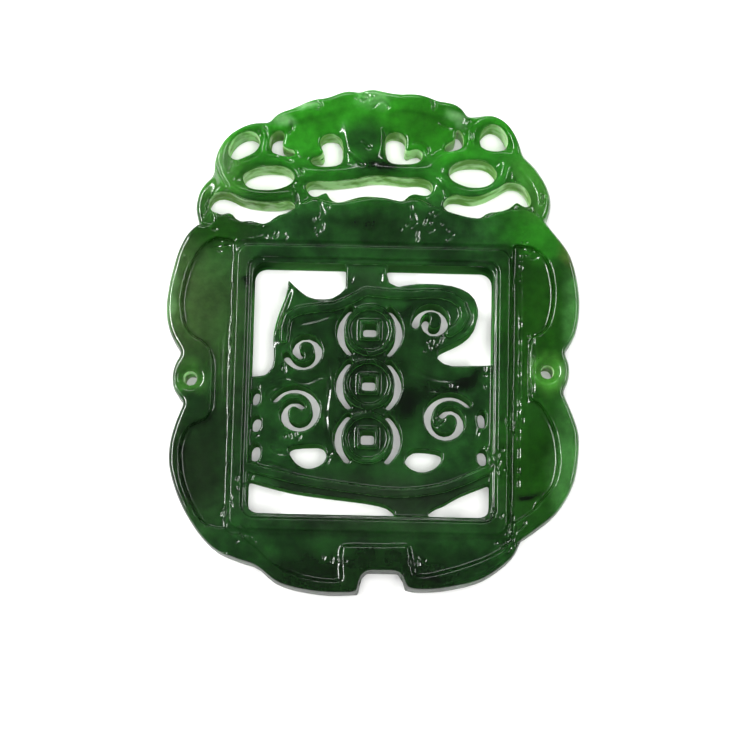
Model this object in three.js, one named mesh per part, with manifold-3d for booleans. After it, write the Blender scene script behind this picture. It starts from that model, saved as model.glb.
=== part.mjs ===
// Carved jade plaque pendant, lying on its flat back. +Z is the carved face, +Y the crown, +X the right side.
// One stone: a four-lobed plaque with a pierced window, two side rings and an openwork crown.
// Free outlines are drawn in hundredths of the pendant's width, from the middle of the pendant. The openwork
// in the window is drawn in hundredths of the window's half sizes, from the window's middle.
// Every thickness, wall, bore and cut is in millimetres.
import * as THREE from 'three';
import { mergeVertices } from 'three/addons/utils/BufferGeometryUtils.js';
import Module from 'manifold-3d';

// Driving sizes of the stone
const pendantWidth = 45.3;
const rimThickness = 5.2;
const hundredth = pendantWidth / 100;
const edgeChamfer = 0.44 * hundredth;

// The sunk fields inside the lobes
const fieldDepth = 1.0;
const footFieldDepth = 0.6;

// The window, its raised frame and the line that is cut round the frame
const windowWidth = 26.4;
const windowHeight = 27.6;
const windowCorner = 1.3;
const windowLedge = 0.55;
const ledgeDepth = 0.45;
const frameWall = 1.8;
const frameLine = 0.6;
const frameLineDepth = 0.35;

// The openwork inside the window
const openworkDrop = 1.0;
const openworkRidge = 0.5;
const coinRadius = 2.85;
const coinGap = 0.23;
const coinRim = 0.55;
const coinHole = 1.5;
const coinHoleWall = 0.4;
const coinSlot = 0.8;
const coinSlotSweep = 96;
const scrollSlot = 0.85;
const ridgeWidth = 0.9;

// The crown's ground and the ribbons that stand up from it
const crownDrop = 0.9;
const ribbonRise = 0.6;
const ribbonEdge = 0.25;
const lowRibbonDrop = 0.5;

// The rings at the sides, for a cord
const ringBore = 1.5;
const ringDish = 2.9;
const ringDishDepth = 0.8;

// How finely curves are cut into straight steps
const curveStep = 1.0;
const ribbonStep = 1.3;
const fineStep = 0.65;
const spiralStepDegrees = 25;
const cutMargin = 2;

const windowMiddle = [-0.1 * hundredth, -12.7 * hundredth];
const openworkHundredth = Math.min(windowWidth, windowHeight) / 200;

// The pendant's outline, one stretch for each lobe, ribbon or ring, running anticlockwise from the foot's notch
const outline = [
  [[9.2, -60.4], [10.9, -60.8], [18.0, -60.4], [26.8, -58.2], [32.3, -54.6], [35.0, -51.8], [36.3, -48.5]],
  [[36.3, -48.5], [40.1, -45.8], [45.1, -41.4], [48.9, -34.3], [50.0, -26.6], [49.6, -21.1], [46.0, -12.4]],
  [[46.0, -12.4], [47.1, -10.5], [47.6, -7.8], [47.4, -5.4], [46.2, -2.9]],
  [[46.2, -2.9], [48.7, 1.0], [49.8, 6.5], [49.6, 13.1], [47.6, 20.9], [44.5, 25.3], [41.4, 29.0]],
  [[41.4, 29.0], [42.5, 31.5], [42.9, 33.9], [42.6, 36.3], [40.9, 40.1], [38.1, 43.8], [35.7, 45.9]],
  [[35.7, 45.9], [34.5, 49.8], [32.6, 53.1], [29.9, 55.3], [26.8, 56.1], [22.0, 55.4]],
  [[22.0, 55.4], [20.4, 57.9], [17.5, 58.9], [14.2, 59.3], [11.8, 60.5], [9.2, 60.9], [5.2, 60.7], [1.0, 61.4],
    [-1.9, 61.9], [-5.2, 61.0]],
  [[-5.2, 61.0], [-7.6, 61.5], [-10.0, 60.4], [-12.9, 59.3], [-16.2, 58.8], [-21.1, 56.4], [-24.4, 55.3],
    [-26.4, 53.0]],
  [[-26.4, 53.0], [-30.6, 52.6], [-35.0, 50.4], [-38.1, 47.1], [-39.6, 42.9], [-39.8, 39.6]],
  [[-39.8, 39.6], [-42.7, 36.8], [-44.0, 32.8], [-43.6, 29.5], [-42.9, 27.0]],
  [[-42.9, 27.0], [-45.8, 24.0], [-48.0, 18.7], [-49.6, 10.9], [-50.0, 5.0], [-48.7, -0.6], [-45.8, -5.1]],
  [[-45.8, -5.1], [-47.4, -7.6], [-48.0, -11.1], [-47.4, -14.2], [-44.9, -17.1]],
  [[-44.9, -17.1], [-46.9, -22.2], [-48.1, -27.7], [-47.8, -33.2], [-45.1, -40.9], [-40.7, -48.0], [-36.1, -52.4],
    [-29.7, -54.9]],
  [[-29.7, -54.9], [-26.2, -56.0], [-22.2, -59.3], [-17.3, -61.0], [-9.6, -62.0], [-2.1, -61.7]],
  [[-2.1, -61.7], [-1.3, -57.7], [-0.1, -56.5]],
  [[-0.1, -56.5], [7.4, -56.5]],
  [[7.4, -56.5], [8.3, -57.7], [9.2, -60.4]],
];

// The holes that pierce the crown, each a closed smooth line
const crownHoles = {
  leftLoop: [[-30.9, 50.4], [-28.9, 49.2], [-28.8, 46.9], [-31.2, 44.6], [-34.6, 43.3], [-36.4, 44.9],
    [-35.7, 47.4], [-33.6, 49.6]],
  leftCorner: [[-25.9, 49.6], [-24.4, 50.6], [-22.4, 50.2], [-23.1, 48.7], [-23.1, 46.8], [-20.9, 46.2],
    [-19.3, 45.4], [-20.2, 44.8], [-25.1, 45.0], [-26.0, 46.5]],
  leftEye: [[-32.6, 39.2], [-29.7, 41.2], [-25.7, 41.8], [-21.5, 41.2], [-19.8, 39.0], [-22.6, 36.8],
    [-27.0, 35.9], [-31.2, 36.5]],
  leftGap: [[-40.8, 31.7], [-40.3, 33.9], [-38.3, 35.2], [-35.7, 34.8], [-32.8, 33.4], [-28.4, 32.6],
    [-24.0, 32.6], [-20.0, 33.0], [-19.8, 31.0], [-23.5, 29.7], [-26.8, 27.5], [-30.1, 28.1], [-33.4, 28.1],
    [-35.4, 30.1], [-37.6, 29.5]],
  leftHook: [[-14.0, 48.2], [-13.4, 49.8], [-11.6, 50.4], [-9.4, 50.0], [-8.5, 48.2], [-8.4, 45.1], [-8.3, 43.2],
    [-11.8, 42.4], [-14.9, 42.5], [-16.7, 43.8], [-15.3, 44.7], [-13.6, 44.3], [-12.7, 45.4], [-13.6, 46.9]],
  rightHook: [[2.1, 49.1], [2.5, 50.9], [5.4, 51.1], [7.0, 50.0], [7.0, 47.8], [6.6, 46.0], [8.1, 46.5],
    [9.8, 47.1], [11.4, 46.0], [11.4, 44.7], [9.8, 43.7], [6.5, 43.4], [3.0, 43.6], [2.3, 46.0]],
  rightCrescent: [[18.9, 52.2], [20.2, 52.0], [21.2, 50.2], [21.1, 48.2], [20.6, 47.1], [19.3, 47.0], [18.0, 46.2],
    [16.4, 47.1], [16.9, 48.5], [18.7, 49.1], [19.5, 50.2]],
  rightLoop: [[25.2, 50.5], [26.3, 52.6], [28.2, 53.6], [30.4, 52.5], [31.9, 50.0], [31.8, 48.0], [30.4, 46.8],
    [27.9, 46.8], [25.9, 47.4]],
  rightEye: [[17.5, 41.4], [19.5, 43.6], [23.3, 44.3], [27.3, 43.8], [29.5, 41.2], [27.9, 38.5], [24.8, 37.6],
    [21.1, 38.3], [18.4, 39.8]],
  rightGap: [[16.4, 32.8], [17.8, 35.2], [20.0, 35.4], [22.8, 34.9], [25.9, 35.4], [29.5, 37.2], [33.2, 39.2],
    [35.9, 38.3], [37.9, 34.8], [37.6, 33.0], [35.9, 33.4], [34.3, 34.5], [33.0, 33.0], [30.8, 31.9],
    [27.7, 31.5], [25.3, 30.0], [23.3, 30.0], [18.9, 31.0]],
  middleSlot: [[-17.3, 37.0], [-16.4, 38.1], [-10.7, 38.3], [-5.2, 39.0], [-0.8, 39.8], [3.0, 39.8], [7.0, 39.4],
    [10.5, 39.6], [13.4, 38.7], [14.0, 36.8], [12.5, 35.4], [9.8, 35.9], [8.3, 35.7], [6.7, 33.9], [4.7, 34.1],
    [0.3, 34.9], [-4.1, 34.8], [-7.4, 33.7], [-9.8, 33.2], [-11.4, 34.5], [-12.0, 35.9], [-13.4, 35.2],
    [-15.1, 34.3], [-16.4, 35.4]],
};

// The border between crown and plaque, just above the plaque's shoulders, and a loop over the whole crown
const crownGround = [
  [[-42.9, 27.0], [-37.6, 29.0], [-33.4, 27.6], [-26.8, 27.0], [-19.8, 31.0], [-15.1, 33.8], [-9.8, 32.7],
    [0.3, 34.4], [6.7, 33.4], [9.8, 34.4], [16.4, 31.5], [25.3, 29.5], [30.8, 31.4], [36.5, 32.0], [41.4, 29.0]],
  [[41.4, 29.0], [60, 29], [60, 80], [-60, 80], [-60, 27], [-42.9, 27.0]],
];

// The raised ribbons of the crown: middle line and width
const ribbons = [
  { width: 1.3, line: [[-28.8, 51.5], [-32.8, 51.3], [-36.3, 48.9], [-38.2, 45.1], [-38.3, 41.4], [-36.5, 37.6],
    [-32.8, 35.2], [-27.0, 34.2], [-20.9, 34.8]] },
  { width: 1.3, line: [[-34.8, 39.4], [-33.0, 42.1], [-29.7, 43.4], [-24.4, 43.6], [-20.0, 42.3], [-18.2, 39.2]] },
  { width: 0.9, line: [[-27.3, 51.8], [-27.3, 48.5], [-27.7, 45.1]] },
  { width: 2.2, line: [[-24.0, 52.6], [-22.4, 54.4], [-18.2, 56.0], [-13.4, 57.1], [-8.9, 58.8], [-5.8, 58.8]] },
  { width: 2.2, line: [[-1.7, 59.7], [3.0, 58.8], [9.2, 58.8], [14.0, 57.5], [18.0, 56.8], [20.0, 54.6]] },
  { width: 1.6, line: [[15.1, 43.8], [18.9, 45.6], [24.6, 46.2], [30.8, 45.6], [36.1, 42.9], [39.6, 38.7],
    [40.9, 34.5], [40.3, 31.0]] },
  { width: 1.2, line: [[31.5, 42.7], [30.8, 39.4], [27.7, 36.8], [22.8, 36.1], [18.4, 37.2], [16.0, 39.4]] },
  { width: 1.15, line: [[22.8, 48.5], [23.3, 52.4], [27.0, 54.9], [31.5, 53.5], [33.9, 49.6], [34.5, 46.2]] },
  { width: 1.1, line: [[-16.4, 40.5], [-8.5, 40.7], [0.3, 41.6], [9.2, 41.6], [14.5, 41.4]] },
  { width: 4.2, line: [[-3.4, 51.6], [-3.2, 49.6], [-3.0, 47.4]] },
];

// The lower ribbon behind the left loop lies deeper than the rest of the crown
const lowRibbon = { width: 2.2, line: [[-40.9, 37.6], [-42.8, 33.9], [-42.8, 30.6], [-41.0, 28.6]] };

// The outer lines of the long sunk fields, which start and end on the line round the frame at the two heights
const sideFields = [
  { ends: [22.6, -47.2], line: [[-38.5, 23.5], [-42.5, 20.2], [-45.1, 14.7], [-46.2, 8.7], [-45.8, 3.6], [-44.0, -0.3],
    [-40.3, -2.5], [-38.5, -5.6], [-38.3, -12.3], [-38.5, -19.5], [-40.7, -21.5], [-43.8, -23.1], [-45.4, -27.7],
    [-45.1, -33.4], [-43.6, -38.7], [-40.3, -44.7], [-38.6, -46.4]] },
  { ends: [23.2, -44.8], line: [[38.7, 22.6], [42.3, 18.7], [43.6, 11.6], [42.9, 5.6], [41.4, 2.1], [38.3, 0.1], [37.9, -6.7],
    [38.3, -14.0], [40.7, -15.8], [43.8, -21.1], [45.1, -27.7], [44.3, -34.3], [40.5, -39.4],
    [38.6, -41.7]] },
];

// The sunk field of the foot, with the raised tab over the notch: across in hundredths of the width, down in shares
// of the way from the line round the frame to the field's foot
const fieldFoot = -58.9;
const footField = [
  [[-31.0, 0], [-28.4, 0.22], [-25.6, 0.41], [-22.6, 0.66], [-17.3, 0.88], [-11.5, 1], [-5.9, 1]],
  [[-5.9, 1], [-6.3, 0.61], [-6.2, 0.25]],
  [[-6.2, 0.25], [9.7, 0.22]],
  [[9.7, 0.22], [10.4, 0.58], [11.2, 0.86]],
  [[11.2, 0.86], [14.6, 0.85], [20.4, 0.71], [26.8, 0.5], [31.7, 0.28], [34.8, 0]],
];
const sideRings = [[42.3, -7.6], [-43.6, -11.1]];

// The four large gaps in the window, each a chain of stretches, reaching past the window where it bounds them
const reach = 110;
const windowGaps = [
  [[[-23, reach], [-23, 81]], [[-23, 81], [-33, 73], [-50, 72], [-61, 78], [-71, 87]],
    [[-71, 87], [-72, 75], [-78, 59], [-82, 41], [-81, 22], [-87, 10], [-reach, 8]],
    [[-reach, 8], [-reach, reach]], [[-reach, reach], [-23, reach]]],
  [[[11, reach], [12, 88], [21, 83]],
    [[21, 83], [39, 86], [64, 85], [80, 79], [87, 69], [87, 57], [80, 46], [67, 38], [56, 33], [55, 24], [67, 20]],
    [[67, 20], [reach, 22]], [[reach, 22], [reach, reach]], [[reach, reach], [11, reach]]],
  [[[-reach, -71], [-67, -81], [-36, -85], [-6, -88], [12, -91], [21, -96], [24, -reach]],
    [[24, -reach], [-reach, -reach]], [[-reach, -reach], [-reach, -71]]],
  [[[reach, -68], [77, -81], [61, -90], [50, -95], [48, -reach]],
    [[48, -reach], [reach, -reach]], [[reach, -reach], [reach, -68]]],
];
const smallGaps = [
  [[-67, -48], [-52, -45], [-38, -46], [-36, -57], [-48, -64], [-59, -61]],
  [[29, -58], [34, -48], [48, -47], [60, -50], [56, -60], [42, -65]],
];

// The string of coins in the middle, the scrolls beside it and the lens holes along the frame; their radii and half
// sizes are in hundredths of half the window's shorter side
const coinStringMiddle = [-2, 4];
const scrolls = [
  { middle: [-61, -19], outer: 20.8, inner: 6.4, start: 150, sweep: -460 },
  { middle: [-56, 31], outer: 15.9, inner: 6.1, start: 200, sweep: 400 },
  { middle: [50, 55], outer: 14.5, inner: 6.0, start: 190, sweep: -400 },
  { middle: [64, -23], outer: 21.2, inner: 6.4, start: 40, sweep: 460 },
];
const lensHoles = [
  { middle: [-95, -8], halfWidth: 3.8, halfHeight: 7.6 },
  { middle: [-94, -29], halfWidth: 4.5, halfHeight: 7.6 },
  { middle: [-94, -52], halfWidth: 4.5, halfHeight: 8.3 },
  { middle: [92, -22], halfWidth: 3.8, halfHeight: 8.3 },
  { middle: [93, -52], halfWidth: 4.5, halfHeight: 7.6 },
];
const ridges = [
  [[-6, 78], [-29, 66], [-52, 63], [-70, 57], [-73, 38]],
  [[-6, 78], [24, 76], [58, 77], [75, 68], [75, 55], [64, 46]],
  [[-98, -64], [-59, -73], [-14, -79], [24, -82], [62, -77], [98, -62]],
];

const wasm = await Module();
wasm.setup();

function solidOf(geometry) {
  geometry.deleteAttribute('normal');
  geometry.deleteAttribute('uv');
  const merged = mergeVertices(geometry, 1e-4);
  return new wasm.Manifold(new wasm.Mesh({
    numProp: 3,
    vertProperties: new Float32Array(merged.attributes.position.array),
    triVerts: new Uint32Array(merged.index.array),
  }));
}

// Points on the pendant, from hundredths of its width
function onPendant(points) {
  return points.map(([x, y]) => new THREE.Vector2(x * hundredth, y * hundredth));
}

// Points in the window, from hundredths of its half sizes
function inWindow(points) {
  return points.map(([x, y]) => new THREE.Vector2(
    windowMiddle[0] + x * windowWidth / 200,
    windowMiddle[1] + y * windowHeight / 200,
  ));
}

// An open smooth line through the points, without its last point, so that stretches can be chained
function stretch(points, step) {
  const curve = points.length > 2 ? new THREE.SplineCurve(points) : new THREE.LineCurve(points[0], points[1]);
  const count = points.length > 2 ? Math.max(2, Math.round(curve.getLength() / step)) : 1;
  return curve.getSpacedPoints(count).slice(0, -1);
}

function chain(stretches, step) {
  return stretches.flatMap((points) => stretch(points, step));
}

// A closed smooth line through the points
function loop(points, step) {
  const corners = points.map((p) => new THREE.Vector3(p.x, p.y, 0));
  const curve = new THREE.CatmullRomCurve3(corners, true, 'centripetal');
  const count = Math.round(curve.getLength() / step);
  return curve.getSpacedPoints(count).slice(0, -1).map((p) => new THREE.Vector2(p.x, p.y));
}

function ellipse(middle, halfWidth, halfHeight, step) {
  const curve = new THREE.EllipseCurve(middle.x, middle.y, halfWidth, halfHeight);
  const count = Math.max(10, Math.round(curve.getLength() / step));
  return curve.getSpacedPoints(count).slice(0, -1);
}

// A band of even width along a line, with round ends
function band(line, width, step) {
  const half = width / 2;
  const curve = new THREE.SplineCurve(line);
  const count = Math.max(3, Math.round(curve.getLength() / step));
  const left = [];
  const right = [];
  for (let i = 0; i <= count; i += 1) {
    const point = curve.getPointAt(i / count);
    const along = curve.getTangentAt(i / count);
    left.push(new THREE.Vector2(point.x - along.y * half, point.y + along.x * half));
    right.unshift(new THREE.Vector2(point.x + along.y * half, point.y - along.x * half));
  }
  const endCap = roundEnd(curve.getPointAt(1), curve.getTangentAt(1), half);
  const startCap = roundEnd(curve.getPointAt(0), curve.getTangentAt(0).negate(), half);
  return [...left, ...endCap, ...right, ...startCap];
}

function roundEnd(point, outward, radius) {
  const left = Math.atan2(outward.x, -outward.y);
  return [0.25, 0.5, 0.75].map((share) => {
    const angle = left - share * Math.PI;
    return new THREE.Vector2(point.x + radius * Math.cos(angle), point.y + radius * Math.sin(angle));
  });
}

// Points round a middle, on a circle where both radii are the same and otherwise on a spiral
function spiral(middle, outer, inner, startDegrees, sweepDegrees) {
  const count = Math.ceil(Math.abs(sweepDegrees) / spiralStepDegrees);
  return Array.from({ length: count + 1 }, (_, i) => {
    const angle = THREE.MathUtils.degToRad(startDegrees + sweepDegrees * i / count);
    const radius = outer + (inner - outer) * i / count;
    return new THREE.Vector2(middle.x + radius * Math.cos(angle), middle.y + radius * Math.sin(angle));
  });
}

function rectangle(middle, width, height, corner) {
  const shape = new THREE.Shape();
  const left = middle[0] - width / 2;
  const bottom = middle[1] - height / 2;
  shape.moveTo(left + corner, bottom);
  shape.lineTo(left + width - corner, bottom);
  shape.absarc(left + width - corner, bottom + corner, corner, -Math.PI / 2, 0);
  shape.lineTo(left + width, bottom + height - corner);
  shape.absarc(left + width - corner, bottom + height - corner, corner, 0, Math.PI / 2);
  shape.lineTo(left + corner, bottom + height);
  shape.absarc(left + corner, bottom + height - corner, corner, Math.PI / 2, Math.PI);
  shape.lineTo(left, bottom + corner);
  shape.absarc(left + corner, bottom + corner, corner, Math.PI, 1.5 * Math.PI);
  return shape.getPoints(3);
}

// A flat piece of the outline between two heights, its edges chamfered when asked for
function slab(contour, bottom, top, holes = [], chamfer = 0) {
  const shape = new THREE.Shape(contour);
  shape.holes = holes.map((points) => new THREE.Path(points));
  const geometry = new THREE.ExtrudeGeometry(shape, {
    depth: top - bottom - 2 * chamfer,
    bevelEnabled: chamfer > 0,
    bevelThickness: chamfer,
    bevelSize: chamfer,
    bevelOffset: -chamfer,
    bevelSegments: 1,
  });
  geometry.translate(0, 0, bottom + chamfer);
  return solidOf(geometry);
}

function joined(solids) {
  return solids.reduce((whole, solid) => whole.add(solid));
}

const aboveStone = rimThickness + cutMargin;
const openworkTop = rimThickness - openworkDrop;
const crownTop = rimThickness - crownDrop;

// The stone's blank: full thickness everywhere, the crown already pierced
function blank(chamfer) {
  const contour = chain(outline.map(onPendant), curveStep);
  const holes = Object.values(crownHoles).map((points) => loop(onPendant(points), fineStep));
  return slab(contour, 0, rimThickness, holes, chamfer);
}

// What is carved down from the front: the crown's ground, the fields, the frame's ledge and line
function carvedAway() {
  const ground = slab(crownContour(), crownTop, aboveStone);
  const low = slab(band(onPendant(lowRibbon.line), lowRibbon.width, curveStep), crownTop - lowRibbonDrop, aboveStone);
  const sides = sideFields.map((field) => slab(
    sideField(field),
    rimThickness - fieldDepth,
    aboveStone,
  ));
  const foot = slab(footContour(), rimThickness - footFieldDepth, aboveStone);
  return joined([ground, low, ...sides, foot, frameCut(), ledge()]);
}

// A side field's contour, closed along the middle of the line round the frame
function sideField({ ends, line }) {
  const lineMiddle = windowWidth / 2 + frameWall + frameLine / 2;
  const x = windowMiddle[0] + Math.sign(line[0][0]) * lineMiddle;
  const [first, last] = ends.map((y) => new THREE.Vector2(x, y * hundredth));
  return [...stretch([first, ...onPendant(line), last], curveStep), last];
}

function footContour() {
  const top = windowMiddle[1] - windowHeight / 2 - frameWall - frameLine / 2;
  const drop = top - fieldFoot * hundredth;
  const edge = footField.map((points) => points.map(([x, share]) => (
    new THREE.Vector2(x * hundredth, top - share * drop)
  )));
  return [...chain(edge, curveStep), edge[edge.length - 1].pop()];
}

function crownContour() {
  const [border, over] = crownGround.map(onPendant);
  return [...stretch(border, curveStep), ...over.slice(0, -1)];
}

// A shallow line round the raised frame
function frameCut() {
  const innerWidth = windowWidth + 2 * frameWall;
  const innerHeight = windowHeight + 2 * frameWall;
  const outer = rectangle(windowMiddle, innerWidth + 2 * frameLine, innerHeight + 2 * frameLine, windowCorner);
  const inner = rectangle(windowMiddle, innerWidth, innerHeight, windowCorner);
  return slab(outer, rimThickness - frameLineDepth, aboveStone, [inner]);
}

// The step round the window's edge, and the room that leaves the openwork lower than the frame
function ledge() {
  const edge = rectangle(windowMiddle, windowWidth + 2 * windowLedge, windowHeight + 2 * windowLedge, windowCorner);
  const room = rectangle(windowMiddle, windowWidth, windowHeight, windowCorner);
  return slab(edge, rimThickness - ledgeDepth, aboveStone).add(slab(room, openworkTop, aboveStone));
}

// The raised ribbons, kept inside the pierced outline
function crownRibbons() {
  const raised = ribbons.map(({ line, width }) => slab(
    band(onPendant(line), width, ribbonStep),
    crownTop - 2 * ribbonEdge,
    crownTop + ribbonRise,
    [],
    ribbonEdge,
  ));
  return joined(raised).intersect(blank(0));
}

// The middles of the three coins, one above the other
function coinMiddles() {
  const [place] = inWindow([coinStringMiddle]);
  const spacing = 2 * coinRadius + coinGap;
  return [1, 0, -1].map((row) => new THREE.Vector2(place.x, place.y + row * spacing));
}

// Everything that pierces the window
function windowCuts() {
  const frame = slab(rectangle(windowMiddle, windowWidth, windowHeight, windowCorner), -cutMargin, aboveStone);
  const large = windowGaps.map((gap) => slab(chain(gap.map(inWindow), curveStep), -cutMargin, aboveStone));
  const small = smallGaps.map((points) => loop(inWindow(points), fineStep));
  for (const { middle, outer, inner, start, sweep } of scrolls) {
    const line = spiral(
      inWindow([middle])[0],
      outer * openworkHundredth,
      inner * openworkHundredth,
      start,
      sweep,
    );
    small.push(band(line, scrollSlot, fineStep));
  }
  for (const { middle, halfWidth, halfHeight } of lensHoles) {
    const [place] = inWindow([middle]);
    small.push(ellipse(place, halfWidth * openworkHundredth, halfHeight * openworkHundredth, fineStep));
  }
  for (const middle of coinMiddles()) {
    small.push(rectangle([middle.x, middle.y], coinHole, coinHole, coinHole / 8));
    for (const side of [0, 180]) {
      const radius = coinRadius + coinSlot / 2;
      small.push(band(spiral(middle, radius, radius, side - coinSlotSweep / 2, coinSlotSweep), coinSlot, fineStep));
    }
  }
  const pierced = small.map((contour) => slab(contour, -cutMargin, aboveStone));
  return joined(large).intersect(frame).add(joined(pierced));
}

// What stands up on the openwork: the coins' rims and hole borders, and the ridges of cloud and boat
function openworkRelief() {
  const raised = ridges.map((line) => slab(
    band(inWindow(line), ridgeWidth, ribbonStep),
    openworkTop - openworkRidge,
    openworkTop + openworkRidge,
  ));
  for (const middle of coinMiddles()) {
    const rim = ellipse(middle, coinRadius, coinRadius, curveStep);
    const face = ellipse(middle, coinRadius - coinRim, coinRadius - coinRim, curveStep);
    const border = coinHole + 2 * coinHoleWall;
    const square = rectangle([middle.x, middle.y], border, border, coinHole / 8);
    raised.push(slab(rim, openworkTop - openworkRidge, openworkTop + openworkRidge, [face]));
    raised.push(slab(square, openworkTop - openworkRidge, openworkTop + openworkRidge));
  }
  return joined(raised);
}

// The bores of the side rings, each in a shallow dish
function ringBores() {
  return joined(onPendant(sideRings).map((middle) => {
    const boreRadius = ringBore / 2;
    const dishRadius = ringDish / 2;
    const profile = [
      new THREE.Vector2(0, -cutMargin),
      new THREE.Vector2(boreRadius, -cutMargin),
      new THREE.Vector2(boreRadius, rimThickness - ringDishDepth),
      new THREE.Vector2(dishRadius, rimThickness),
      new THREE.Vector2(dishRadius, aboveStone),
      new THREE.Vector2(0, aboveStone),
    ];
    const bore = new THREE.LatheGeometry(profile, 18);
    bore.rotateX(Math.PI / 2);
    bore.translate(middle.x, middle.y, 0);
    return solidOf(bore);
  }));
}

function carve() {
  return blank(edgeChamfer)
    .subtract(carvedAway())
    .add(crownRibbons())
    .add(openworkRelief())
    .subtract(windowCuts())
    .subtract(ringBores());
}

function geometryOf(solid) {
  const { numProp, vertProperties, triVerts } = solid.getMesh();
  const positions = new Float32Array(vertProperties.length / numProp * 3);
  for (let i = 0; i < positions.length / 3; i += 1) {
    positions.set(vertProperties.subarray(i * numProp, i * numProp + 3), i * 3);
  }
  const geometry = new THREE.BufferGeometry();
  geometry.setAttribute('position', new THREE.BufferAttribute(positions, 3));
  geometry.setIndex(new THREE.BufferAttribute(new Uint32Array(triVerts), 1));
  return geometry;
}

const jade = new THREE.MeshStandardMaterial({ color: 0x2f6b35, roughness: 0.22, metalness: 0 });
const stone = geometryOf(carve());
stone.computeBoundingBox();
const middle = stone.boundingBox.getCenter(new THREE.Vector3());
stone.translate(-middle.x, -middle.y, 0);
stone.computeVertexNormals();

const pendant = new THREE.Mesh(stone, jade);
pendant.name = 'pendant';
const part = new THREE.Group();
part.add(pendant);

export default part;
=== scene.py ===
import math

import bpy
import numpy as np
from mathutils import Matrix, Vector


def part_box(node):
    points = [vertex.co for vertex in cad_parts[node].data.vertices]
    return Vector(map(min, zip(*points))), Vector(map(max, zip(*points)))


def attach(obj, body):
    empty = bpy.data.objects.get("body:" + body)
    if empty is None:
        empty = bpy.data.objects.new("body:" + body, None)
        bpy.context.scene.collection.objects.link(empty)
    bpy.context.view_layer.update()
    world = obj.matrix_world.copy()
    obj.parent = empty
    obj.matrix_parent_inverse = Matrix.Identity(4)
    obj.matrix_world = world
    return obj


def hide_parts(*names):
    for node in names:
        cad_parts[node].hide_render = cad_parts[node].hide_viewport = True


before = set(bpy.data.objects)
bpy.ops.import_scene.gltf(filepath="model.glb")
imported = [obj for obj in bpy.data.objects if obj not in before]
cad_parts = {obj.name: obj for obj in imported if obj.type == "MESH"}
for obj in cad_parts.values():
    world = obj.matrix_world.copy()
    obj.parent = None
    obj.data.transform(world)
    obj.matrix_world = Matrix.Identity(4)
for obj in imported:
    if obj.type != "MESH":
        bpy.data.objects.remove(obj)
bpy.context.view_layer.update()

MM = 0.001
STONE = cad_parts["pendant"]
LOW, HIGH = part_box("pendant")
HUNDREDTH = (HIGH.x - LOW.x) / 100
TOP = HIGH.z

# The camera of the photograph: distance, tilt towards the pendant's foot, roll, and the point in the picture's middle
CAMERA_DISTANCE = 0.230
CAMERA_TILT = math.radians(8.8)
CAMERA_ROLL = math.radians(1.3)
CAMERA_AIM = Vector((0.35 * MM, -4.25 * MM, 5.0 * MM))
CAMERA_ANGLE = math.radians(20.1)
CAMERA_NEAREST = 0.01

# The fine stone's mesh, in millimetres: its voxels, and how many triangles may be left
VOXEL = 0.13
MOST_TRIANGLES = 192000

# How strongly and how often the edges are smoothed, everywhere and then by region. Where a region lies is given in
# hundredths of the width, but its foot as a share of the thickness, and the rim's width in millimetres
ROUNDING = 0.5
ROUNDING_STEPS = 9
FRONT_SHARE = 0.5
CROWN_BORDER = 32.5
CROWN_ROUNDING_STEPS = 55
SOFT_PLACES = (((-1.2, 42.6), (23.0, 3.4)), ((-3.1, 49.4), (7.5, 10.0)))
SOFT_ROUNDING_STEPS = 140
LOBE_SIDE = 39.5
LOBE_FOOT = -49
LOBE_ROUNDING_STEPS = 45
RIM_SHARE = 0.55
RIM_WIDTH = 1.3
RIM_ROUNDING_STEPS = 50

# How many sectors round the middle the outline is read in
SECTORS = 720

# The boss between the crown's hooks: middle and half sizes in hundredths of the width, heights in millimetres
BOSS = ((-3.1, 50.4), (5.6, 6.6))
BOSS_GROUND = 4.33
BOSS_RISE = 0.30
BOSS_BLEND = 0.6

# The hand's unevenness: its height and the lengths of its waves in millimetres, and how many waves
UNEVEN = 0.016
UNEVEN_SEED = 3
WAVES = 24
WAVE_LENGTHS = (1.6, 5.0)

# How far from the outline a wall counts as inside, in millimetres: not at all, and wholly
INSIDE = (0.4, 0.8)

# A vertex that faces up less than this isn't cut, and one that faces up more by the second is cut fully
FACING = 0.25
FACING_RANGE = 0.5

# Cuts of the carver's tool, in millimetres; the share of a line over which a cut fades at each end, how many widths it
# reaches to each side, and in how many steps a line runs from one point to the next
FINE_LINE = {"width": 0.19, "depth": 0.26}
FAINT_LINE = {"width": 0.19, "depth": 0.13}
SOFT_LINE = {"width": 0.17, "depth": 0.09}
BROAD_LINE = {"width": 0.50, "depth": 0.10}
SCRATCH = {"width": 0.12, "depth": 0.15}
RIPPLE = {"width": 0.11, "depth": 0.14}
BEVEL = {"width": 0.34, "depth": 0.34}
FADE = 0.3
REACH = 3
LINE_STEPS = 6

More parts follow.
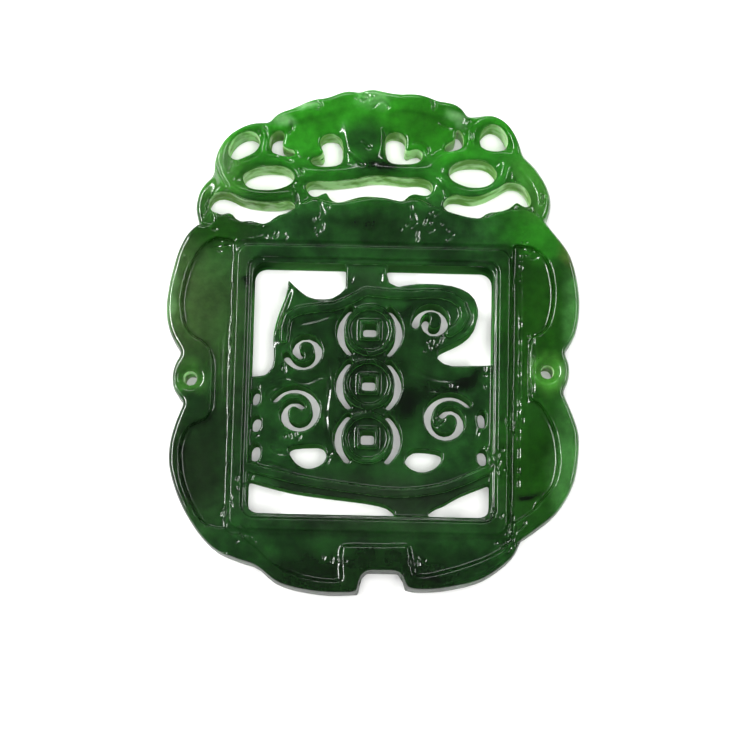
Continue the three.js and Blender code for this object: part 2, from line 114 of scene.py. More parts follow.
# Lines cut with them: points in hundredths of the pendant's width, from the pendant's middle
CROWN_LINES = (
    ((-39.2, 43.8), (-38.5, 40.5), (-36.8, 37.2), (-35.7, 36.1)),
    ((-29.7, 51.8), (-28.4, 49.6), (-28.1, 47.8)),
    ((-28.1, 52.4), (-27.0, 50.0), (-26.6, 47.8)),
    ((-34.1, 41.2), (-33.2, 42.9), (-31.2, 43.6), (-28.4, 44.7)),
    ((-25.9, 44.0), (-23.7, 44.0), (-21.7, 43.4), (-20.2, 42.7)),
    ((-18.9, 41.6), (-18.2, 40.5), (-18.4, 39.4)),
    ((-19.8, 36.1), (-19.3, 33.9), (-19.5, 32.1)),
    ((-21.5, 53.8), (-20.9, 52.4), (-21.1, 50.9), (-22.4, 50.0)),
    ((-20.2, 55.5), (-19.3, 57.1), (-17.3, 57.9), (-14.9, 58.2), (-14.0, 57.3), (-14.7, 56.4), (-16.9, 56.0)),
    ((-4.1, 60.6), (-2.5, 59.5), (-4.7, 58.2)),
    ((-2.1, 57.9), (1.0, 58.6), (2.5, 57.5), (1.7, 56.4)),
    ((12.0, 59.5), (13.6, 58.6), (13.8, 57.3), (12.9, 56.6)),
    ((15.1, 54.4), (15.6, 53.3), (17.1, 52.6), (19.1, 52.2)),
    ((21.5, 52.4), (21.7, 50.4), (21.3, 48.2)),
    ((22.8, 52.2), (23.1, 50.2), (22.8, 48.7)),
    ((7.8, 48.0), (9.6, 48.9), (11.4, 48.2), (12.5, 46.9), (12.3, 45.1)),
    ((-7.4, 46.0), (-5.6, 44.3), (-3.9, 42.9), (-2.5, 42.1)),
    ((1.0, 52.2), (1.9, 50.7), (1.7, 48.2)),
    ((-4.0, 49.0), (-2.6, 47.8), (-1.2, 46.6)),
    ((16.2, 37.9), (16.9, 36.3), (17.5, 34.8)),
    ((33.7, 40.9), (34.3, 39.4), (35.7, 38.7)),
    ((40.3, 36.8), (40.7, 35.0), (39.8, 33.2)),
    ((-41.6, 32.6), (-40.9, 31.0), (-42.3, 28.6)),
)
BORDER_LINES = (
    ((-9.8, 29.0), (-6.3, 31.0), (0.3, 31.9), (6.1, 31.2), (9.6, 29.2)),
    ((-40.5, 26.6), (-36.1, 27.3), (-32.8, 25.7), (-27.3, 25.1), (-21.7, 27.9), (-18.0, 29.5)),
    ((11.8, 30.4), (16.7, 28.1), (23.5, 27.3), (29.9, 29.2), (36.8, 29.0), (40.1, 26.6)),
)
SIDE_LINES = (
    ((-39.0, -3.2), (-38.9, -11.1), (-38.5, -20.2)),
    ((-37.4, -3.0), (-37.4, -11.1), (-37.2, -21.1)),
    ((-36.3, 2.0), (-36.2, -8.0), (-36.1, -18.0)),
    ((-34.8, 8.0), (-34.9, -8.0), (-34.7, -22.0)),
    ((37.9, 1.0), (37.7, -6.7), (37.6, -14.9)),
    ((39.0, 0.8), (38.9, -6.7), (38.5, -14.5)),
    ((35.6, 22.0), (35.5, 8.0), (35.6, -8.0), (35.4, -22.0), (35.5, -36.0)),
)
OPENWORK_LINES = (
    ((-21.2, 10.0), (-22.2, 5.6), (-23.0, 1.2), (-22.6, -3.0)),
    ((-19.4, 2.6), (-13.8, 4.0), (-8.6, 5.8)),
    ((22.4, 8.8), (24.0, 5.6), (22.6, 2.4), (19.6, 0.4)),
    ((-25.0, -11.6), (-20.4, -10.2), (-16.0, -11.4), (-12.0, -9.8), (-9.6, -10.8)),
    ((7.6, -4.0), (10.2, -7.4), (14.2, -9.4), (19.4, -10.0), (26.2, -9.2)),
    ((8.6, -8.6), (12.0, -11.4), (15.6, -12.6), (20.8, -12.4), (26.4, -13.2)),
    ((-10.6, -5.4), (-10.2, -12.4), (-10.8, -19.2), (-9.8, -26.0)),
    ((-25.6, -30.2), (-20.8, -32.0), (-14.4, -34.0)),
    ((16.6, -34.8), (21.4, -33.0), (26.0, -31.0)),
    ((-5.4, 16.4), (-5.2, 13.0)),
    ((1.8, 16.4), (1.6, 13.2)),
    ((12.4, -2.6), (15.2, -4.6), (18.4, -4.4)),
    ((-26.0, -15.4), (-23.8, -13.0), (-20.6, -12.6)),
    ((-24.8, -26.2), (-22.0, -28.4), (-18.2, -28.6)),
    ((24.8, -17.0), (26.0, -21.0), (24.8, -25.6)),
)
BEVEL_LINES = (
    ((-19.6, 14.0), (-20.6, 10.4), (-21.9, 6.8), (-23.1, 3.2), (-23.7, -0.4), (-23.6, -4.0)),
)

# Places with a few short strokes left by the tool: middle in hundredths of the width and direction in degrees. Then
# how many strokes a place has, half a stroke's length, and how far its direction and its middle stray
SCRATCHED = (
    ((-27.5, 25.5), 20), ((-23.0, 24.5), 75), ((-14.5, 27.5), 80), ((-13.0, 30.5), 110), ((8.5, 29.0), 100),
    ((10.5, 26.5), 70), ((14.5, 28.5), 45), ((18.5, 26.0), 30), ((-2.5, 59.0), 20), ((-8.5, 45.0), 120),
    ((-31.0, -48.5), 50), ((-7.0, -53.5), 80), ((11.5, -54.0), 95), ((33.5, -45.0), 60), ((-33.5, -43.5), 85),
    ((34.0, -20.0), 90), ((-29.5, -36.0), 85), ((31.0, -32.0), 85), ((37.5, 22.5), 30), ((-36.5, 23.0), 10),
    ((-26.3, -2.2), 60), ((-20.8, -7.0), 80), ((-10.0, -28.5), 70), ((-17.2, -25.0), 100), ((14.4, -2.2), 80),
    ((16.4, -20.2), 60), ((27.1, -27.3), 40), ((30.2, -29.7), 80), ((-28.0, -47.5), 150), ((26.6, -42.2), 80),
    ((34.6, -44.1), 70), ((32.6, -48.9), 50), ((20.0, -12.0), 85),
)
SCRATCH_SEED = 7
STROKES = 6
STROKE_HALF = (0.5, 1.5)
STROKE_TURN = 16
STROKE_SPREAD = 1.3

# Upright rows of short marks beside the frame: place across, lowest and highest end, and how many marks. Then half a
# mark's length, and how far its foot strays across and its top from its foot
RIPPLES = (
    (35.6, -36, 24, 58), (33.6, -44, 20, 20), (37.6, -15, 2, 22), (38.7, -14, 2, 22), (-33.9, -34, 24, 26),
    (27.2, -14, 18, 14), (-27.0, -30, 20, 12),
)
RIPPLE_SEED = 11
RIPPLE_HALF = (0.3, 0.8)
RIPPLE_SHIFT = 0.05
RIPPLE_SLANT = 0.12

# Colours of the stone; some are painted light and shade: painted backlit glow, painted highlight and sheen, and
# painted shade
DEEP_GREEN = (0.0049, 0.0224, 0.0051, 1)
MID_GREEN = (0.0088, 0.0468, 0.0082, 1)
RICH_GREEN = (0.0042, 0.0320, 0.0012, 1)
# Painted backlit glow: bright green where light would shine through the crown and the right side
BACKLIT_GREEN = (0.0135, 0.1350, 0.0060, 1)
# Painted backlit glow: yellower green on the crown's thin loops and round the side rings
BACKLIT_YELLOW_GREEN = (0.0512, 0.2132, 0.0235, 1)
PALE_GREEN = (0.0240, 0.0540, 0.0135, 1)
# Painted highlight and backlit glow: pale spots on the crown's face
GLOW_AND_HIGHLIGHT_SPOT = (0.1274, 0.2730, 0.1092, 1)
# Painted sheen and glow: a glint on the crown's left loop, a glow round the right ring's bore, and a painted
# reflection along the left outer rim
SHEEN_AND_GLOW_GREEN = (0.0850, 0.1650, 0.0680, 1)
# Painted backlit glow along the right outer rims
BACKLIT_RIM_GREEN = (0.0330, 0.1250, 0.0260, 1)
# Painted shade: darker grey-green on the lower left lobe
PAINTED_SHADE_GREY = (0.0052, 0.0108, 0.0040, 1)
# Painted shade: greyer and darker over the lower openwork, the frame's left side and the middle post
PAINTED_SHADE_SLATE = (0.0070, 0.0128, 0.0064, 1)
# Painted shade: darker over the middle of the openwork, the foot, and the band below the crown
PAINTED_SHADE_GREEN = (0.0019, 0.0056, 0.0016, 1)
BROWN = (0.0585, 0.0644, 0.0156, 1)
BLACK_FLECK = (0.0010, 0.0025, 0.0010, 1)

# Painted glow on the walls of the holes: colours that stand in for light coming through the stone
GLOW_WALL_GREEN = (0.040, 0.135, 0.032, 1)
GLOW_WALL_DEEP = (0.160, 0.330, 0.090, 1)
GLOW_WALL_PALE = (0.480, 0.740, 0.380, 1)

# Where the walls get the painted glow: centre and half sizes in hundredths of the width, turn in degrees, and where
# the border begins and ends as shares of the half sizes; then how strongly the painted glow covers the stone's own
WINDOW = ((0, -12), (36, 38), 0, (0.95, 1.1))
CROWN = ((0, 50), (66, 24), 0, (0.85, 1.1))
RINGS = (((42.6, -8.4), (4, 4), 0, (0.8, 1.2)), ((-43.6, -11.1), (4, 4), 0, (0.8, 1.2)))
WINDOW_GLOW = 0.8
CROWN_GLOW = 0.85

# Noise in the stone and on its skin: size of the blotches in millimetres, detail, roughness
CLOUDS = (5.5, 5.0, 0.6)
FLECKS = (1.1, 4.0, 0.65)
PATCHES = (3.0, 3.0, 0.55)
DRIFT = (2.6, 2.0, 0.45)
SKIN = (1.4, 4.0, 0.6)
CHATTER = (0.35, 2.0, 0.5)

# The range of noise over which a colour gives way to the next, in the clouds and in the pale patches of the painted
# glow on the crown's walls; and for clouds and flecks the range over which the stone gets lighter, by how much, and
# the shade before it
CLOUD_TINT = (0.35, 0.65)
PATCH_TINT = (0.40, 0.60)
CLOUD_SHADE = ((0.3, 0.7), 0.5, 0.75)
FLECK_SHADE = ((0.25, 0.75), 0.4, 0.8)

# How far the drift pushes the borders of colours about
WARP = 2.4 * MM

# The skin's waves: their strength, their height, and how much of the chatter is added to them
SKIN_STRENGTH = 0.5
SKIN_HEIGHT = 0.02 * MM
CHATTER_SHARE = 0.2

# Light in the stone: how far red, green and blue go, and its refraction
LIGHT_REACH = (0.5, 1.0, 0.4)
LIGHT_SCALE = 1.8 * MM
REFRACTION = 1.55

# The polish: roughness and mirroring of the face, what flecks and a matt wall add to the roughness, how matt the outer
# walls are and how much more the inner ones, and the upward share of its normal at which a wall begins and is whole
FACE_ROUGHNESS = 0.06
FACE_MIRRORING = 0.5
FLECK_ROUGHNESS = 0.16
MATT_ROUGHNESS = 0.30
OUTER_MATT = 0.85
INNER_MATT = 0.15
WALL_STEEPNESS = (0.45, 0.15)

# Zones of colour, some the stone's own tone and some painted light and shade (the bright, yellow, rim, sheen and
# pale-spot tints painted backlit glow and highlight, the dark, slate and grey tints painted shade): centre and half
# sizes in hundredths of the width, turn in degrees, tint, strength
ZONES = (
    ((-1, 53), (60, 19), 0, BACKLIT_GREEN, 1.0),
    ((12, 54), (13, 8), 0, RICH_GREEN, 0.5),
    ((-25, 35), (9, 5), 0, RICH_GREEN, 0.7),
    ((-3, 49), (7, 7), 0, DEEP_GREEN, 0.85),
    ((1, 42), (15, 3), 0, DEEP_GREEN, 0.7),
    ((41, 38), (9, 12), 0, BACKLIT_YELLOW_GREEN, 0.4),
    ((-39, 42), (8, 14), 0, BACKLIT_YELLOW_GREEN, 0.55),
    ((-37.5, 43), (3, 5), 0, SHEEN_AND_GLOW_GREEN, 0.6),
    ((-1, 59.5), (4.5, 2.4), 0, GLOW_AND_HIGHLIGHT_SPOT, 0.4),
    ((-17.3, 57.7), (2.4, 1.2), 10, GLOW_AND_HIGHLIGHT_SPOT, 0.5),
    ((-22.8, 52.9), (3.0, 1.8), 0, GLOW_AND_HIGHLIGHT_SPOT, 0.6),
    ((19, 54.5), (2.8, 1.8), -20, GLOW_AND_HIGHLIGHT_SPOT, 0.6),
    ((40, 5), (13, 28), 0, RICH_GREEN, 0.9),
    ((39, -32), (14, 22), 0, RICH_GREEN, 0.9),
    ((50, 6), (4.5, 18), 0, BACKLIT_RIM_GREEN, 0.9),
    ((48, -32), (5, 18), 0, BACKLIT_RIM_GREEN, 0.8),
    ((38, 26), (10, 6), -20, BACKLIT_GREEN, 0.6),
    ((48, 23), (3, 6), 15, BROWN, 0.6),
    ((43, -7.6), (5, 5), 0, BACKLIT_YELLOW_GREEN, 0.85),
    ((46, -8.0), (2.2, 3.5), 0, SHEEN_AND_GLOW_GREEN, 0.5),
    ((-43.6, -11.1), (4, 4), 0, BACKLIT_YELLOW_GREEN, 0.5),
    ((-45, 8), (9, 20), 0, PALE_GREEN, 0.9),
    ((-50, 13), (2.6, 17), 0, SHEEN_AND_GLOW_GREEN, 0.7),
    ((-35, 4), (7, 24), 0, PALE_GREEN, 0.4),
    ((-37, 25), (10, 5), 10, RICH_GREEN, 0.8),
    ((-42, -34), (12, 20), 0, PAINTED_SHADE_GREY, 0.8),
    ((0, -40), (36, 9), 0, PAINTED_SHADE_SLATE, 0.9),
    ((-31, -2), (4, 34), 0, PAINTED_SHADE_SLATE, 0.5),
    ((0, 27), (16, 5), 0, PAINTED_SHADE_GREEN, 0.7),
    ((-2, 14), (6, 5), 0, PAINTED_SHADE_SLATE, 0.6),
    ((4, 21), (30, 3.2), 0, PAINTED_SHADE_GREEN, 0.45),
    ((-2, -58), (40, 12), 0, PAINTED_SHADE_GREEN, 0.85),
    ((0, -12), (26, 22), 0, PAINTED_SHADE_GREEN, 0.72),
    ((16, -12.5), (9, 4), 20, BLACK_FLECK, 0.6),
)
ZONE_BORDER = (0.2, 1.35)

# Black inclusions: centre and half sizes in hundredths of the width, turn in degrees
INCLUSIONS = (
    ((1.6, 42.6), (4.6, 1.9), -4),
    ((-30.6, 12.9), (0.9, 1.6), 0),
    ((22.4, -10.5), (6.5, 1.6), 30),
    ((5.2, 6.3), (3.8, 1.3), 10),
    ((8.1, -15.6), (3.6, 2.6), 40),
    ((37.9, -37.6), (2.2, 1.0), 20),
    ((15.8, -57.9), (2.0, 1.0), 0),
)
INCLUSION_BORDER = (0.0, 1.9)

# The floor: half its side in metres, how far it lies below the pendant, and its look
FLOOR_HALF = 1.5
FLOOR_DROP = 0.02 * MM
FLOOR_COLOUR = (0.86, 0.86, 0.85, 1)
FLOOR_ROUGHNESS = 0.7

# The light from all round, and the lamps: place and size in metres, watts, and whether the stone mirrors them
WORLD_COLOUR = (1, 1, 1, 1)
WORLD_STRENGTH = 0.08
LAMPS = (
    ("glint_left", (-0.32, 0.08, 0.38), (0.035, 0.34), 2.2, True),
    ("glint_right", (0.36, 0.08, 0.34), (0.03, 0.30), 0.7, True),
    ("glint_top", (-0.06, 0.40, 0.36), (0.26, 0.03), 0.35, True),
    ("key", (-0.24, 0.20, 0.36), (0.16, 0.16), 1.4, False),
    ("over", (0.02, -0.06, 0.50), (0.26, 0.26), 3.3, False),
)


def added(name, data):
    """A new object in the scene."""
    piece = bpy.data.objects.new(name, data)
    bpy.context.scene.collection.objects.link(piece)
    return piece


def scratches():
    """Short strokes scattered round each scratched place."""
    random = np.random.default_rng(SCRATCH_SEED)
    strokes = []
    for middle, degrees in SCRATCHED:
        for _ in range(STROKES):
            angle = math.radians(degrees + random.normal(0, STROKE_TURN))
            half = random.uniform(*STROKE_HALF) * np.array((math.cos(angle), math.sin(angle)))
            centre = np.array(middle) + random.normal(0, STROKE_SPREAD, 2)
            strokes.append((centre - half, centre + half))
    return strokes


def ripples():
    """Short marks one above the other in upright rows."""
    random = np.random.default_rng(RIPPLE_SEED)
    strokes = []
    for x, low, high, count in RIPPLES:
        for y in random.uniform(low, high, count):
            half = random.uniform(*RIPPLE_HALF)
            middle = x + random.normal(0, RIPPLE_SHIFT)
            strokes.append(((middle, y - half), (middle + random.normal(0, RIPPLE_SLANT), y + half)))
    return strokes


def eased(share):
    """The share cut to run from 0 to 1, level at both ends."""
    share = np.clip(share, 0, 1)
    return share * share * (3 - 2 * share)


def smooth_line(points):
    """Points along a Catmull-Rom line through the given ones, in millimetres."""
    given = np.array(points, float) * HUNDREDTH / MM
    ends = np.vstack([2 * given[0] - given[1], given, 2 * given[-1] - given[-2]])
    line = []
    for i in range(1, len(ends) - 2):
        before, start, end, after = ends[i - 1:i + 3]
        for t in np.linspace(0, 1, LINE_STEPS, endpoint=False):
            line.append(0.5 * (2 * start + (end - before) * t + (2 * before - 5 * start + 4 * end - after) * t**2
                               + (3 * start - before - 3 * end + after) * t**3))
    return np.array(line + [given[-1]])


def nearest_on_line(places, line):
    """How far each place in the plane lies from a line of points, and which share of the line lies before."""
    nearest = np.full(len(places), np.inf)
    before = np.zeros(len(places))
    pieces = len(line) - 1
    for i, (start, end) in enumerate(zip(line[:-1], line[1:])):
        along = end - start
        share = np.clip((places - start) @ along / max(along @ along, 1e-12), 0, 1)
        gap = places - start - share[:, None] * along
        square = np.einsum("ij,ij->i", gap, gap)
        closer = square < nearest
        nearest[closer] = square[closer]
        before[closer] = (i + share[closer]) / pieces
    return np.sqrt(nearest), before


def cut_depth(places, lines, width, depth):
    """The depth of the deepest of these rounded cuts at each place."""
    deepest = np.zeros(len(places))
    for points in lines:
        line = smooth_line(points)
        low, high = line.min(0) - REACH * width, line.max(0) + REACH * width
        near = np.all((places > low) & (places < high), axis=1)
        gap, share = nearest_on_line(places[near], line)
        faded = eased(np.minimum(share, 1 - share) / FADE)
        deepest[near] = np.maximum(deepest[near], faded * depth * np.exp(-(gap / width) ** 2))
    return deepest


def applied(piece):
    """The piece's mesh once its modifiers are turned into mesh."""
    graph = bpy.context.evaluated_depsgraph_get()
    mesh = bpy.data.meshes.new_from_object(piece.evaluated_get(graph))
    piece.modifiers.clear()
    piece.data = mesh
    mesh.name = piece.name
    return mesh


def read_vectors(items, name):
    """A vector of each of a mesh's items, as rows."""
    values = np.empty(len(items) * 3, np.float32)
    items.foreach_get(name, values)
    return values.reshape(-1, 3)


def read_places(mesh):
    return read_vectors(mesh.vertices, "co").astype(float)


def from_outline(places):
    """How far each place lies inside the pendant's outline, measured towards the middle."""
    radius = np.hypot(places[:, 0], places[:, 1])
    sector = ((np.arctan2(places[:, 1], places[:, 0]) / (2 * math.pi) + 0.5) * SECTORS).astype(int) % SECTORS
    reach = np.zeros(SECTORS)
    np.maximum.at(reach, sector, radius)
    return reach[sector] - radius


def regions(spots):
    """The regions of the front that are rounded alike: name, which vertices, and smoothing steps."""
    height = spots[:, 2] * MM / TOP
    across, along = spots[:, :2].T * MM / HUNDREDTH
    front = height > FRONT_SHARE
    soft = np.zeros(len(spots), bool)
    for (x, y), (half_x, half_y) in SOFT_PLACES:
        soft |= (abs(across - x) < half_x) & (abs(along - y) < half_y)
    on_lobe = (abs(across) > LOBE_SIDE) | (along < LOBE_FOOT)
    on_rim = (height > RIM_SHARE) & (from_outline(spots[:, :2]) < RIM_WIDTH)
    return (
        ("crown", front & (along > CROWN_BORDER), CROWN_ROUNDING_STEPS),
        ("soft", front & soft, SOFT_ROUNDING_STEPS),
        ("lobe", front & on_lobe, LOBE_ROUNDING_STEPS),
        ("rim", on_rim, RIM_ROUNDING_STEPS),
    )


def add_rounding(piece, steps, group=""):
    rounded = piece.modifiers.new("rounded", "SMOOTH")
    rounded.factor = ROUNDING
    rounded.iterations = steps
    rounded.vertex_group = group


def fine_stone():
    """The carved stone as a fine mesh: the faceted solid, its edges rounded, with the carver's lines cut in."""
    piece = added("jade_stone", STONE.data.copy())
    piece.data.transform(Matrix.Scale(1 / MM, 4))
    remesh = piece.modifiers.new("even", "REMESH")
    remesh.mode = "VOXEL"
    remesh.voxel_size = VOXEL
    mesh = applied(piece)
    add_rounding(piece, ROUNDING_STEPS)
    for name, inside, steps in regions(read_places(mesh)):
        piece.vertex_groups.new(name=name).add(np.flatnonzero(inside).tolist(), 1.0, "ADD")
        add_rounding(piece, steps, name)
    mesh = applied(piece)
    carve_lines(mesh)
    mesh.calc_loop_triangles()
    thinned = piece.modifiers.new("thinned", "DECIMATE")
    thinned.ratio = min(1.0, MOST_TRIANGLES / len(mesh.loop_triangles))
    thinned.use_collapse_triangulate = True
    mesh = applied(piece)
    inside = (from_outline(read_places(mesh)[:, :2]) - INSIDE[0]) / (INSIDE[1] - INSIDE[0])
    values = np.clip(inside, 0, 1).astype(np.float32)
    mesh.attributes.new("inside", "FLOAT", "POINT").data.foreach_set("value", values)
    mesh.transform(Matrix.Scale(MM, 4))
    mesh.shade_smooth()
    return piece


def unevenness(spots):
    """The hand's unevenness at each place: random waves, their sum mostly within one."""
    random = np.random.default_rng(UNEVEN_SEED)
    total = np.zeros(len(spots))
    for _ in range(WAVES):
        direction = random.normal(size=3)
        direction *= 2 * math.pi / (random.uniform(*WAVE_LENGTHS) * np.linalg.norm(direction))
        total += np.sin(spots @ direction + random.uniform(0, 2 * math.pi))
    return total / math.sqrt(WAVES)


def raise_boss(spots, front):
    """Gives the boss between the crown's hooks the soft form of a drop, without a step round it."""
    middle, half_sizes = BOSS
    away = np.hypot(*((spots[:, :2] * MM / HUNDREDTH - middle) / half_sizes).T)
    on_boss = front & (away < 1)
    outward = away[on_boss]
    dome = BOSS_GROUND + BOSS_RISE * (1 - eased(outward))
    share = np.clip((1 - outward) / BOSS_BLEND, 0, 1)
    spots[on_boss, 2] += share * (dome - spots[on_boss, 2])


def carve_lines(mesh):
    """Presses the tool's lines into the carved face, and makes it slightly uneven."""
    spots = read_places(mesh)
    normals = read_vectors(mesh.vertex_normals, "vector")
    upward = normals[:, 2]
    front = (upward > FACING) & (spots[:, 2] > FRONT_SHARE * TOP / MM)
    raise_boss(spots, front)
    cuts = (
        (CROWN_LINES, FINE_LINE), (SIDE_LINES, SOFT_LINE), (OPENWORK_LINES, FAINT_LINE), (BORDER_LINES, BROAD_LINE),
        (BEVEL_LINES, BEVEL), (scratches(), SCRATCH), (ripples(), RIPPLE),
    )
    depth = np.max([cut_depth(spots[front, :2], lines, **tool) for lines, tool in cuts], axis=0)
    spots[front, 2] -= depth * np.clip((upward[front] - FACING) / FACING_RANGE, 0, 1)
    spots[front] += (UNEVEN * unevenness(spots[front]))[:, None] * normals[front]
    mesh.vertices.foreach_set("co", spots.astype(np.float32).ravel())
    mesh.update()


class Tree:
    """A material's nodes, with a short way to make each kind that the jade uses."""

    def __init__(self, material):
        material.use_nodes = True
        self.nodes = material.node_tree.nodes
        self.links = material.node_tree.links
        self.shader = self.nodes["Principled BSDF"]
        self.place = self.nodes.new("ShaderNodeTexCoord").outputs["Object"]

    def linked(self, value, socket):
        if isinstance(value, (int, float, tuple)):
            socket.default_value = value
        else:
            self.links.new(value, socket)

    def maths(self, operation, first, second=0.0, third=0.0):
        node = self.nodes.new("ShaderNodeMath")
        node.operation = operation
        for value, socket in zip((first, second, third), node.inputs):
            self.linked(value, socket)
        return node.outputs[0]

    def product(self, first, *others):
        for other in others:
            first = self.maths("MULTIPLY", first, other)
        return first

    def vectors(self, operation, *values):
        node = self.nodes.new("ShaderNodeVectorMath")
        node.operation = operation
        for value, socket in zip(values, node.inputs):
            self.linked(value, socket)
        return node

    def noise(self, size, detail, roughness, output="Fac"):
        """Noise whose blotches are about this size, in millimetres; mean near one half."""
        node = self.nodes.new("ShaderNodeTexNoise")
        self.links.new(self.place, node.inputs["Vector"])
        node.inputs["Scale"].default_value = 1 / (size * MM)
        node.inputs["Detail"].default_value = detail
        node.inputs["Roughness"].default_value = roughness
        return node.outputs[output]

    def stretched(self, value, low, high):
        """The value from low to high, eased to run from 0 to 1."""
        node = self.nodes.new("ShaderNodeMapRange")
        node.interpolation_type = "SMOOTHSTEP"
        self.linked(value, node.inputs["Value"])
        node.inputs["From Min"].default_value = low
        node.inputs["From Max"].default_value = high
        return node.outputs["Result"]

    def mixed(self, share, first, second):
        node = self.nodes.new("ShaderNodeMix")
        node.data_type = "RGBA"
        self.linked(share, node.inputs["Factor"])
        self.linked(first, node.inputs["A"])
        self.linked(second, node.inputs["B"])
        return node.outputs["Result"]

    def warped(self):
        """Coordinates pushed about by noise, with the height left out, so that every border is uneven."""
        centred = self.vectors("SUBTRACT", self.noise(*DRIFT, output="Color"), (0.5, 0.5, 0.5)).outputs["Vector"]
        pushed = self.vectors("MULTIPLY_ADD", centred, (WARP, WARP, 0), self.place).outputs["Vector"]
        return self.vectors("MULTIPLY", pushed, (1, 1, 0)).outputs["Vector"]

    def spot(self, where, centre, half_sizes, turn, border):
        """1 inside a turned ellipse in hundredths of the width, 0 outside, with an uneven border."""
        shift = self.nodes.new("ShaderNodeMapping")
        shift.vector_type = "TEXTURE"
        self.links.new(where, shift.inputs["Vector"])
        shift.inputs["Location"].default_value = (centre[0] * HUNDREDTH, centre[1] * HUNDREDTH, 0)
        shift.inputs["Rotation"].default_value = (0, 0, math.radians(turn))
        shift.inputs["Scale"].default_value = (half_sizes[0] * HUNDREDTH, half_sizes[1] * HUNDREDTH, 1)
        away = self.vectors("LENGTH", shift.outputs["Vector"]).outputs["Value"]
        begins, ends = border
        return self.stretched(away, ends, begins)


def clouded(tree, where, flecks):
    """The stone's colour: clouds, flecks and black inclusions, and zones of green that are partly its own tone, partly
    painted backlit glow, highlight and shade.
    """
    clouds = tree.noise(*CLOUDS)
    colour = tree.mixed(tree.stretched(clouds, *CLOUD_TINT), DEEP_GREEN, MID_GREEN)
    for centre, half_sizes, turn, tint, strength in ZONES:
        zone = tree.spot(where, centre, half_sizes, turn, ZONE_BORDER)
        colour = tree.mixed(tree.product(zone, strength), colour, tint)
    shades = [
        tree.maths("MULTIPLY_ADD", tree.stretched(noise, *span), gain, least)
        for noise, (span, gain, least) in ((clouds, CLOUD_SHADE), (flecks, FLECK_SHADE))
    ]
    shade = tree.vectors("SCALE", colour)
    tree.linked(tree.product(*shades), shade.inputs["Scale"])
    colour = shade.outputs["Vector"]
    for centre, half_sizes, turn in INCLUSIONS:
        colour = tree.mixed(tree.spot(where, centre, half_sizes, turn, INCLUSION_BORDER), colour, BLACK_FLECK)
    return colour


def painted_wall_glow(tree, where, colour, inner_wall):
    """The colour, with a painted glow of light coming through on the walls of the holes, most of all in the crown and
    the side rings.
    """
    window = tree.spot(where, *WINDOW)
    colour = tree.mixed(tree.product(window, inner_wall, WINDOW_GLOW), colour, GLOW_WALL_GREEN)
    # Painted glow on the walls of the crown and the side rings, in patches of deeper and paler green
    clear = tree.spot(where, *CROWN)
    for ring in RINGS:
        clear = tree.maths("MAXIMUM", clear, tree.spot(where, *ring))
    pale = tree.mixed(tree.stretched(tree.noise(*PATCHES), *PATCH_TINT), GLOW_WALL_DEEP, GLOW_WALL_PALE)
    return tree.mixed(tree.product(clear, inner_wall, CROWN_GLOW), colour, pale)


def walls(tree):
    """1 on all upright walls and 0 on level faces, then the same for the walls of the holes alone."""
    level = tree.nodes.new("ShaderNodeSeparateXYZ")
    tree.links.new(tree.nodes.new("ShaderNodeNewGeometry").outputs["True Normal"], level.inputs["Vector"])
    inside = tree.nodes.new("ShaderNodeAttribute")
    inside.attribute_name = "inside"
    wall = tree.stretched(tree.maths("ABSOLUTE", level.outputs["Z"]), *WALL_STEEPNESS)
    return wall, tree.product(wall, inside.outputs["Fac"])


def jade():
    """Polished green nephrite: clouded, with painted backlit glow towards the thin carving and on the walls of the
    holes, painted shade over the middle and the left, and a few black inclusions.
    """
    material = bpy.data.materials.new("jade")
    tree = Tree(material)
    shader, links = tree.shader, tree.links
    where = tree.warped()
    flecks = tree.noise(*FLECKS)
    wall, inner_wall = walls(tree)
    links.new(painted_wall_glow(tree, where, clouded(tree, where, flecks), inner_wall), shader.inputs["Base Color"])

    shader.inputs["Subsurface Weight"].default_value = 1.0
    shader.inputs["Subsurface Radius"].default_value = LIGHT_REACH
    shader.inputs["Subsurface Scale"].default_value = LIGHT_SCALE
    shader.inputs["IOR"].default_value = REFRACTION
    polish = tree.maths("MULTIPLY_ADD", flecks, FLECK_ROUGHNESS, FACE_ROUGHNESS)
    matt = tree.maths("MULTIPLY_ADD", inner_wall, INNER_MATT, tree.product(wall, OUTER_MATT))
    links.new(tree.maths("MULTIPLY_ADD", matt, MATT_ROUGHNESS, polish), shader.inputs["Roughness"])
    links.new(tree.maths("MULTIPLY_ADD", matt, -FACE_MIRRORING, FACE_MIRRORING), shader.inputs["Specular IOR Level"])
    skin = tree.nodes.new("ShaderNodeBump")
    skin.inputs["Strength"].default_value = SKIN_STRENGTH
    skin.inputs["Distance"].default_value = SKIN_HEIGHT
    height = tree.maths("MULTIPLY_ADD", tree.noise(*CHATTER), CHATTER_SHARE, tree.noise(*SKIN))
    links.new(height, skin.inputs["Height"])
    links.new(skin.outputs["Normal"], shader.inputs["Normal"])
    return material


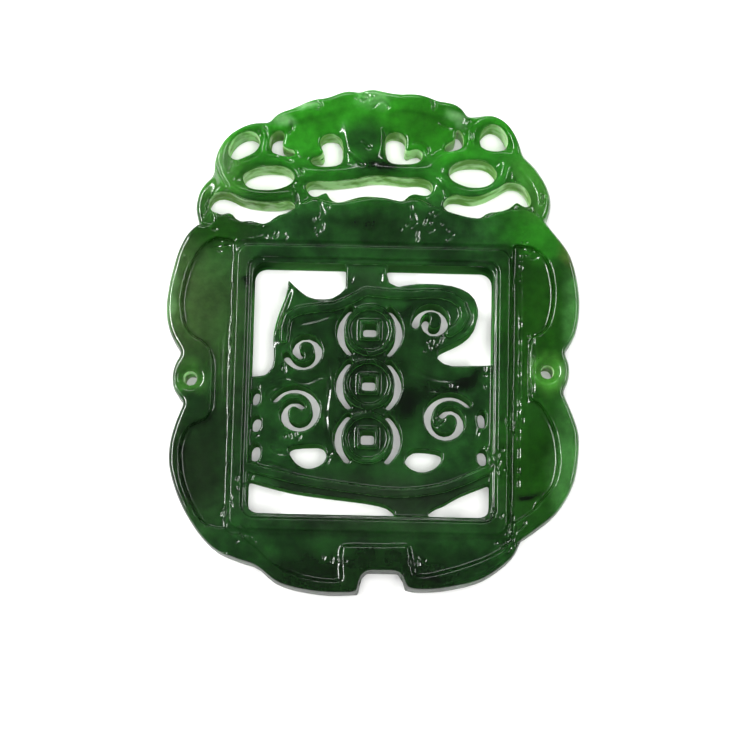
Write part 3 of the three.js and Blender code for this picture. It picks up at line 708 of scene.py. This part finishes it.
def floor():
    """A plain pale surface under the pendant."""
    mesh = bpy.data.meshes.new("floor")
    corners = [(x * FLOOR_HALF, y * FLOOR_HALF, 0) for x, y in ((-1, -1), (1, -1), (1, 1), (-1, 1))]
    mesh.from_pydata(corners, [], [(0, 1, 2, 3)])
    piece = added("floor", mesh)
    piece.location.z = -FLOOR_DROP
    material = bpy.data.materials.new("pale_floor")
    material.use_nodes = True
    shader = material.node_tree.nodes["Principled BSDF"]
    shader.inputs["Base Color"].default_value = FLOOR_COLOUR
    shader.inputs["Roughness"].default_value = FLOOR_ROUGHNESS
    mesh.materials.append(material)


def camera():
    """Looks down on the lying pendant as the photograph looks at it."""
    back = Vector((0, -math.sin(CAMERA_TILT), math.cos(CAMERA_TILT)))
    level = Vector((0, math.cos(CAMERA_TILT), math.sin(CAMERA_TILT)))
    across = Vector((1, 0, 0))
    right = across * math.cos(CAMERA_ROLL) + level * math.sin(CAMERA_ROLL)
    up = level * math.cos(CAMERA_ROLL) - across * math.sin(CAMERA_ROLL)
    data = bpy.data.cameras.new("camera")
    data.angle = CAMERA_ANGLE
    data.clip_start = CAMERA_NEAREST
    eye = added("camera", data)
    turn = Matrix((right, up, back)).transposed().to_4x4()
    eye.matrix_world = Matrix.Translation(CAMERA_AIM + back * CAMERA_DISTANCE) @ turn
    bpy.context.scene.camera = eye


def softbox(name, place, size, watts, mirrored):
    """A rectangular lamp that faces the pendant."""
    data = bpy.data.lights.new(name, "AREA")
    data.shape = "RECTANGLE"
    data.size, data.size_y = size
    data.energy = watts
    lamp = added(name, data)
    lamp.location = place
    back = Vector(place).normalized()
    along = Vector((0, 1, 0)).cross(back).normalized()
    lamp.rotation_euler = Matrix((along, back.cross(along), back)).transposed().to_euler()
    lamp.visible_glossy = mirrored


def studio():
    """Faint light from all round, and the lamps."""
    world = bpy.data.worlds.new("studio")
    world.use_nodes = True
    background = world.node_tree.nodes["Background"]
    background.inputs["Color"].default_value = WORLD_COLOUR
    background.inputs["Strength"].default_value = WORLD_STRENGTH
    bpy.context.scene.world = world
    for lamp in LAMPS:
        softbox(*lamp)
    bpy.context.scene.view_settings.view_transform = "Standard"


camera()
studio()
floor()
stone = fine_stone()
stone.data.materials.clear()
stone.data.materials.append(jade())
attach(stone, "root")
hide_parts("pendant")
